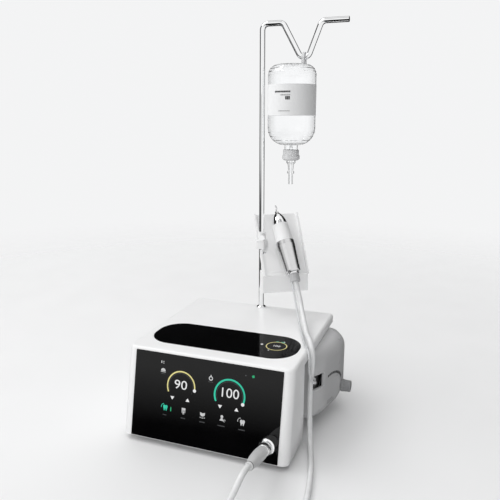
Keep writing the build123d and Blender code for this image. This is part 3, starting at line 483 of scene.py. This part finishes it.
def plug_details():
    """Knurled lock ring and ribbed sleeve of the front plug."""
    def knurl(height, angle):
        return 0.16 * math.cos(48 * angle) if 8.4 <= height <= 15.6 else 0.0

    profile = [(5.6, 6.6), (6.6, 6.6), (6.9, 6.9), (6.9, 7.6), (7.15, 8.4)]
    profile += [(7.2, 9 + n) for n in range(7)]
    profile += [(7.15, 15.6), (6.9, 16.2), (6.8, 16.8), (6.5, 17.0), (5.6, 17.0)]
    ring = piece("plug_ring_knurled", lathe("plug_ring_knurled", PLUG, profile, 240, knurl), "lock_ring",
                 "chrome", 50)
    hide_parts("plug_ring")

    def ribs(height, angle):
        return -0.12 * abs(math.sin(18 * angle)) if 25.5 <= height <= 44 else 0.0

    profile = [(5.55, 20.3), (6.4, 20.3), (6.6, 20.6), (7.15, 23.6), (7.2, 25.0)]
    profile += [(7.2 - 0.045 * max(0, n - 6), 25.6 + n) for n in range(19)]
    profile += [(6.25, 46.6), (6.1, 48.6), (5.4, 54.0), (5.0, 58.0), (4.85, 59.8), (4.85, 61.2), (4.6, 61.6),
                (3.7, 61.6), (3.5, 65.0), (3.3, 65.0)]
    sleeve = piece("plug_sleeve_ribbed", lathe("plug_sleeve_ribbed", PLUG, profile, 144, ribs), "case",
                   "satin", 50)
    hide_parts("plug_sleeve")
    profile = [(4.7, 59.9), (5.0, 60.0), (5.05, 60.4), (5.0, 60.9), (4.7, 61.0)]
    band = piece("plug_end_band", lathe("plug_end_band", PLUG, profile), "case", "dark", 50)
    return [ring, sleeve, band, "plug_core"]


def connector_details():
    """Grey connector shell and chrome ring behind the grip, with a ribbed bend relief on the cord."""
    body = [(6.0, -14.0), (6.7, -14.0), (7.0, -13.6), (7.05, -12.4)]
    for n in range(4):
        top = -11.6 + 2.2 * n
        body += [(7.1, top), (6.75, top + 0.2), (6.75, top + 0.8), (7.15, top + 1.0)]
    body += [(7.4, -3.4), (6.2, -3.3)]
    shell = piece("connector_shell", lathe("connector_shell", HAND, body), "pole",
                  "frame_grey", 40)
    collar = [(6.2, -3.3), (7.5, -3.2), (8.0, -2.8), (8.05, -0.6), (7.8, -0.15), (6.2, -0.15), (6.2, 5.6)]
    ring = piece("connector_ring", lathe("connector_ring", HAND, collar), "pole",
                 "chrome", 40)
    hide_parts("cord_connector")
    profile = [(3.25, -26.0), (3.6, -25.8)]
    for n in range(6):
        low = -25.0 + 1.8 * n
        profile += [(3.75, low), (3.75, low + 0.8), (3.45, low + 1.0), (3.45, low + 1.6)]
    profile += [(3.9, -14.2), (3.9, -13.9)]
    relief = piece("connector_relief", lathe("connector_relief", HAND, profile, 48), "pole",
                   "cord", 40)
    return [shell, ring, relief]


def handpiece_cord():
    """One length from the plug, down to its coil on the table and up to the handpiece."""
    route = [PLUG.at(0, 0, 62), PLUG.at(0, 0, 75)]
    route += metres(FRONT_POINTS) + metres(coil_points()) + metres(reversed(RISE_POINTS))
    route += [HAND.at(0, 0, -38), HAND.at(0, 0, -24)]
    line = smooth_line("cord_line", route)
    cord = piece("handpiece_cord", tube_mesh("handpiece_cord", line, CORD_RADIUS, 24), "case",
                 "cord")
    cord.parent = None
    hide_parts("cord_front", "cord_coil", "cord_rise", "cord_rise_top")
    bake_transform(cord)
    plug_details() + connector_details()


def irrigation_tube():
    """The thin tube from beside the handpiece's end to the pump's window."""
    route = [HAND.at(-5.6, 0, -14.1), HAND.at(-6.2, 0, -26)] + metres(TUBE_POINTS)
    line = smooth_line("tube_line", route)
    hose = piece("irrigation_tube", tube_mesh("irrigation_tube", line, TUBE_RADIUS, 16), "case",
                 "silicone")
    hose.parent = None
    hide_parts("water_tube", "water_tube_top")
    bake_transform(hose)


handpiece_cord()
irrigation_tube()


# --- floor --------------------------------------------------------------------------
def floor():
    """A pale round floor that fades into the surroundings."""
    rings, sides, outer = 24, 96, 2.8
    fade_from, fade_to = 0.3, 1.5
    points = [(0, 0, 0)]
    faces = []
    for ring in range(1, rings + 1):
        r = outer * (ring / rings) ** 1.6
        points += [(r * math.cos(2 * math.pi * n / sides), r * math.sin(2 * math.pi * n / sides), 0)
                   for n in range(sides)]
    for n in range(sides):
        faces.append((0, 1 + n, 1 + (n + 1) % sides))
    for ring in range(rings - 1):
        a, b = 1 + ring * sides, 1 + (ring + 1) * sides
        for n in range(sides):
            m = (n + 1) % sides
            faces.append((a + n, b + n, b + m, a + m))
    mesh = made("floor", points, faces)
    mat = surface("floor_paper", (0.825, 0.827, 0.831), 0.6, vary=0.006, patch=3, grain=400, bump=0.02)
    tree = mat.node_tree
    shader = tree.nodes["Principled BSDF"]
    out = tree.nodes["Material Output"]
    where = tree.nodes.new("ShaderNodeTexCoord")
    far = tree.nodes.new("ShaderNodeVectorMath")
    far.operation = "LENGTH"
    tree.links.new(where.outputs["Object"], far.inputs[0])
    fade = tree.nodes.new("ShaderNodeMapRange")
    fade.interpolation_type = "SMOOTHSTEP"
    fade.inputs["From Min"].default_value = fade_from
    fade.inputs["From Max"].default_value = fade_to
    tree.links.new(far.outputs["Value"], fade.inputs["Value"])
    gone = tree.nodes.new("ShaderNodeBsdfTransparent")
    mix = tree.nodes.new("ShaderNodeMixShader")
    tree.links.new(fade.outputs[0], mix.inputs[0])
    tree.links.new(shader.outputs[0], mix.inputs[1])
    tree.links.new(gone.outputs[0], mix.inputs[2])
    tree.links.new(mix.outputs[0], out.inputs[0])
    mesh.materials.append(mat)
    thing = bpy.data.objects.new("floor", mesh)
    scene.collection.objects.link(thing)
    thing.visible_glossy = False


floor()


# --- pictures on the glass ----------------------------------------------------------
def flat(name, place, shapes, finish, lift=0.12):
    """Thin lit shapes over a glass: each is a list of (u, v) corners."""
    points, faces = [], []
    for shape in shapes:
        base = len(points)
        points += [place.at(u, v, lift) for u, v in shape]
        faces.append(tuple(range(base, base + len(shape))))
    mesh = bpy.data.meshes.new(name)
    mesh.from_pydata([tuple(p) for p in points], [], faces)
    piece(name, mesh, "case", finish)


def arc(cu, cv, r0, r1, start, end, parts=72):
    """Quads round a centre, from start to end degrees."""
    quads = []
    for n in range(parts):
        a = math.radians(start + (end - start) * n / parts)
        b = math.radians(start + (end - start) * (n + 1) / parts)
        corners = ((r0, a), (r1, a), (r1, b), (r0, b))
        quads.append([(cu + r * math.cos(t), cv + r * math.sin(t)) for r, t in corners])
    return quads


def disc(cu, cv, r, parts=28):
    return [(cu + r * math.cos(2 * math.pi * n / parts), cv + r * math.sin(2 * math.pi * n / parts))
            for n in range(parts)]


def bar(u, v, w, h):
    """A rectangle round (u, v)."""
    return [(u - w / 2, v - h / 2), (u + w / 2, v - h / 2), (u + w / 2, v + h / 2), (u - w / 2, v + h / 2)]


def shifted(shape, u, v, scale=1.0):
    return [(u + x * scale, v + y * scale) for x, y in shape]


def number(name, place, text, u, v, size, finish, wide=1.0, lift=0.12):
    """Display digits as a filled mesh."""
    data = bpy.data.curves.new(name, "FONT")
    data.body = text
    data.size = size * MM
    data.align_x = "CENTER"
    data.align_y = "CENTER"
    data.space_character = 1.02
    holder = bpy.data.objects.new(name + "_text", data)
    scene.collection.objects.link(holder)
    bpy.context.view_layer.update()
    mesh = bpy.data.meshes.new_from_object(holder)
    bpy.data.objects.remove(holder)
    mesh.materials.clear()
    mesh.transform(place.matrix(u, v, lift) @ Matrix.Diagonal((wide, 1, 1, 1)))
    mesh.name = name
    piece(name, mesh, "case", finish)


TOOTH = [(-3.0, 1.6), (-2.7, 2.8), (-1.6, 3.4), (-0.6, 3.1), (0, 2.7), (0.6, 3.1), (1.6, 3.4), (2.7, 2.8),
         (3.0, 1.6), (2.8, 0.2), (2.2, -1.1), (1.9, -3.2), (1.2, -3.6), (0.7, -2.6), (0.4, -1.1),
         (-0.4, -1.1), (-0.7, -2.6), (-1.2, -3.6), (-1.9, -3.2), (-2.2, -1.1), (-2.8, 0.2)]
DOWN = [(-2.5, 1.7), (2.5, 1.7), (0.3, -2.0), (-0.3, -2.0)]
UP = [(-2.5, -1.7), (2.5, -1.7), (0.3, 2.0), (-0.3, 2.0)]


def screen_pictures():
    """Two gauges with their numbers and arrows, a row of mode icons and the corner icons."""
    left, right = (-30.5, 68.0), (31.0, 67.5)
    flat("power_gauge", SCREEN, arc(*left, 16.9, 18.5, 207, -6), "amber")
    flat("power_gauge_track", SCREEN, arc(*left, 15.4, 15.8, 205, -25, 40), "dim", lift=0.11)
    flat("water_gauge", SCREEN, arc(*right, 17.3, 19.4, 208, -22), "teal")
    flat("water_gauge_track", SCREEN, arc(*right, 15.7, 16.1, 205, -25, 40), "dim", lift=0.11)
    ends = []
    for (cu, cv), r, a in ((left, 17.8, -7), (right, 18.3, -24)):
        t = math.radians(a)
        ends.append(disc(cu + r * math.cos(t), cv + r * math.sin(t), 2.0))
    flat("gauge_ends", SCREEN, ends, "lit", lift=0.16)
    number("power_value", SCREEN, "90", -31.0, 69.6, 14.8, "lit", wide=1.16)
    number("water_value", SCREEN, "100", 30.6, 69.8, 15.4, "lit", wide=1.06)
    arrows = [shifted(DOWN, -40.9, 53.3), shifted(UP, -20.9, 53.3), shifted(DOWN, 20.3, 53.5),
              shifted(UP, 40.7, 53.0)]
    flat("arrow_keys", SCREEN, arrows, "lit")
    tooth = [shifted(TOOTH, -49.2, 39.9)] + arc(-50.6, 40.6, 3.6, 4.3, 100, 190, 10)
    flat("tooth_key", SCREEN, tooth, "teal")
    flat("tooth_key_mark", SCREEN, [bar(-41.9, 39.0, 1.3, 4.2), bar(-41.9, 41.6, 0.8, 0.9)], "green")
    icons = [bar(-25.2, 42.4, 4.8, 2.2), bar(-25.2, 40.6, 3.4, 0.8), bar(-25.2, 38.6, 2.6, 1.9),
             bar(-25.2, 36.7, 2.0, 0.9), bar(-27.2, 39.6, 0.6, 3.4), bar(-23.2, 39.6, 0.6, 3.4)]
    icons += [[(-3.9, 42.6), (-0.7, 41.7), (2.5, 42.6), (2.2, 39.4), (0.4, 38.1), (-1.8, 38.1),
               (-3.6, 39.4)]]
    icons += [bar(-3.2, 36.6, 1.4, 0.9), bar(-0.7, 36.2, 1.6, 0.9), bar(1.8, 36.6, 1.4, 0.9)]
    icons += [disc(23.6, 42.2, 1.7), [(20.9, 37.4), (26.0, 37.4), (24.6, 40.4), (22.6, 40.4)]]
    icons += arc(26.8, 37.8, 0.9, 1.5, 0, 300, 16)
    icons += [shifted(TOOTH, 48.9, 39.7, 0.98)] + arc(46.6, 41.2, 3.2, 3.8, 90, 200, 10)
    flat("mode_icons", SCREEN, icons, "icon")
    names = []
    for u, w in ((-49.6, 5.0), (-25.2, 6.0), (-0.7, 7.0), (23.3, 9.0), (48.4, 8.0)):
        marks = round(w / 1.2)
        names += [bar(u - w / 2 + (n + 0.5) * w / marks, 31.4, 0.75, 1.3) for n in range(marks)]
    names += [bar(-55.1 + d, 79.9, 0.9, 0.9) for d in (-2.4, -1.2, 0, 1.2, 2.4)]
    names += [bar(6.7 + d, 79.6, 0.9, 0.9) for d in (-2.4, -1.2, 0, 1.2, 2.4)]
    flat("icon_names", SCREEN, names, "dim")
    dome = [(-55.1 + 3.1 * math.cos(math.radians(a)), 83.0 + 3.4 * math.sin(math.radians(a)))
            for a in range(0, 181, 15)]
    drop = arc(6.7, 83.7, 1.5, 2.6, 0, 360, 28) + [[(5.3, 85.4), (8.1, 85.4), (6.7, 88.2)]]
    small = [bar(-57.9, 93.6, 1.2, 2.8), bar(-55.2, 94.4, 1.6, 0.8), bar(-55.2, 92.4, 1.6, 0.8)]
    flat("corner_icons", SCREEN, [dome, bar(-55.1, 82.0, 6.6, 0.7)] + drop + small, "icon")
    flat("status_lamp_idle", SCREEN, [disc(49.0, 93.7, 0.8), disc(49.0, 93.7, 0.4)], "dim")
    flat("status_lamp", SCREEN, [disc(58.0, 93.7, 1.3)] + arc(58, 93.7, 1.5, 1.7, 0, 360, 20), "green")


def top_pictures():
    """A ring with its number and marks on the top glass."""
    centre = (65.5, -30.8)
    flat("top_ring", TOP, arc(*centre, 11.9, 12.9, 0, 360), "amber", lift=0.1)
    ticks = arc(*centre, 13.6, 14.6, 60, 84, 4) + arc(*centre, 13.6, 14.6, 96, 108, 3)
    flat("top_ring_tick", TOP, ticks, "teal", lift=0.1)
    marks = [disc(47.0, -31.0, 1.6), disc(60.0, -45.4, 0.9), disc(71.0, -15.6, 0.9)]
    flat("top_marks", TOP, marks, "lit", lift=0.1)
    number("top_value", TOP, "100", 65.5, -30.6, 6.4, "lit", lift=0.1)


screen_pictures()
top_pictures()


# --- prints on the pod and label ----------------------------------------------------
PRINT_LIFT = 0.0001


def draped(name, shapes, finish):
    """Shapes given as (start, direction) rays, laid on the pod's surface."""
    tree = surface_tree("pump_housing")
    points, faces = [], []
    for shape in shapes:
        found = []
        for start, way in shape:
            hit = tree.ray_cast(Vector(start), Vector(way))[0]
            if hit is None:
                break
            found.append(hit - Vector(way).normalized() * PRINT_LIFT)
        if len(found) == len(shape):
            base = len(points)
            points += found
            faces.append(tuple(range(base, base + len(found))))
    mesh = bpy.data.meshes.new(name)
    mesh.from_pydata([tuple(p) for p in points], [], faces)
    piece(name, mesh, "case", finish)


def from_side(quads):
    """Rays towards -x from (y, z) millimetre corners, starting outside the pod."""
    outside = 0.2
    return [[((outside, y * MM, z * MM), (-1, 0, 0)) for y, z in quad] for quad in quads]


def pod_prints():
    """A scale of growing ticks above the knob, and two rows of plain bars below it."""
    cy, cz, inner = 8.8, 16.3, 50.0
    shortest, growth, share = 2.8, 1.2, 0.78
    count, first, sweep = 11, 96.0, 58.0
    ticks = []
    for n in range(count):
        a0 = first - sweep * n / count
        a1 = a0 - share * sweep / count
        outer = inner + shortest + growth * n / count
        ticks.append([(cy + r * math.cos(math.radians(t)), cz + r * math.sin(math.radians(t)))
                      for r, t in ((inner, a0), (outer, a0), (outer, a1), (inner, a1))])
    draped("flow_scale", from_side(ticks), "print")
    rows = [bar(5.0 + 3.9 * n, 30.6 + 2.9 * row, 2.7, 1.1) for row in range(2) for n in range(5 - row)]
    draped("pod_mark", from_side(rows), "print_grey")


pod_prints()


def label_marks():
    """Plain bars printed on the bottle's label, in place of words."""
    bottle_x, bottle_y, radius = 41.3, 101.0, 32.05
    share = 0.82
    lines = ((-116, -77, 413.4, 415.4), (-101, -77, 409.9, 410.6), (-89, -78, 404.6, 408.8),
             (-106, -78, 390.3, 390.9))
    points, faces = [], []
    for low, high, z0, z1 in lines:
        parts = max(2, round((high - low) / 4))
        for n in range(parts):
            a = math.radians(low + (high - low) * n / parts)
            b = math.radians(low + (high - low) * (n + share) / parts)
            faces.append(tuple(range(len(points), len(points) + 4)))
            for t, z in ((a, z0), (b, z0), (b, z1), (a, z1)):
                x, y = bottle_x + radius * math.cos(t), bottle_y + radius * math.sin(t)
                points.append(Vector((x, y, z)) * MM)
    mesh = bpy.data.meshes.new("label_marks")
    mesh.from_pydata([tuple(p) for p in points], [], faces)
    piece("label_marks", mesh, "bottle", "ink")


label_marks()


# --- pump window --------------------------------------------------------------------
def window_frame():
    """Chamfered frame round the pump's window, with a bright upper edge."""
    place = Frame((114.7, -15.6, 68), (0.4472, 0.8944, 0), (0.8944, -0.4472, 0))
    wide, high, shift, side_points = 21, 19, 0.5, 10
    # rays that find the pod's surface pass outside its opening, and start well off the pod
    probe_w, probe_h = wide / 2 + 0.6, high / 2 + 0.6
    outside = 60
    tree = surface_tree("pump_housing")
    loops = []
    for grow, drop in ((2.0, 0.05), (1.5, 0.35), (0.1, 0.35), (-0.7, -1.2), (-0.7, -2.3)):
        w, h = wide / 2 + grow, high / 2 + grow
        ring = []
        for u0, v0, u1, v1 in ((-w, -h, w, -h), (w, -h, w, h), (w, h, -w, h), (-w, h, -w, -h)):
            for n in range(side_points):
                u = u0 + (u1 - u0) * n / side_points - shift
                v = v0 + (v1 - v0) * n / side_points
                pu, pv = u, v
                if abs(u + shift) < probe_w and abs(v) < probe_h:
                    pu, pv = (u + shift) / w * probe_w - shift, v / h * probe_h
                hit = tree.ray_cast(place.at(pu, pv, outside), -place.z)[0]
                level = (hit / MM - place.o).dot(place.z) if hit else 0.0
                ring.append(place.at(u, v, level + drop))
        loops.append(ring)
    points = [p for ring in loops for p in ring]
    faces = []
    around = 4 * side_points
    for row in range(len(loops) - 1):
        for n in range(around):
            m = (n + 1) % around
            faces.append((row * around + n, row * around + m, (row + 1) * around + m,
                          (row + 1) * around + n))
    piece("window_frame", made("window_frame", points, faces), "case", "frame_grey", 30)


window_frame()
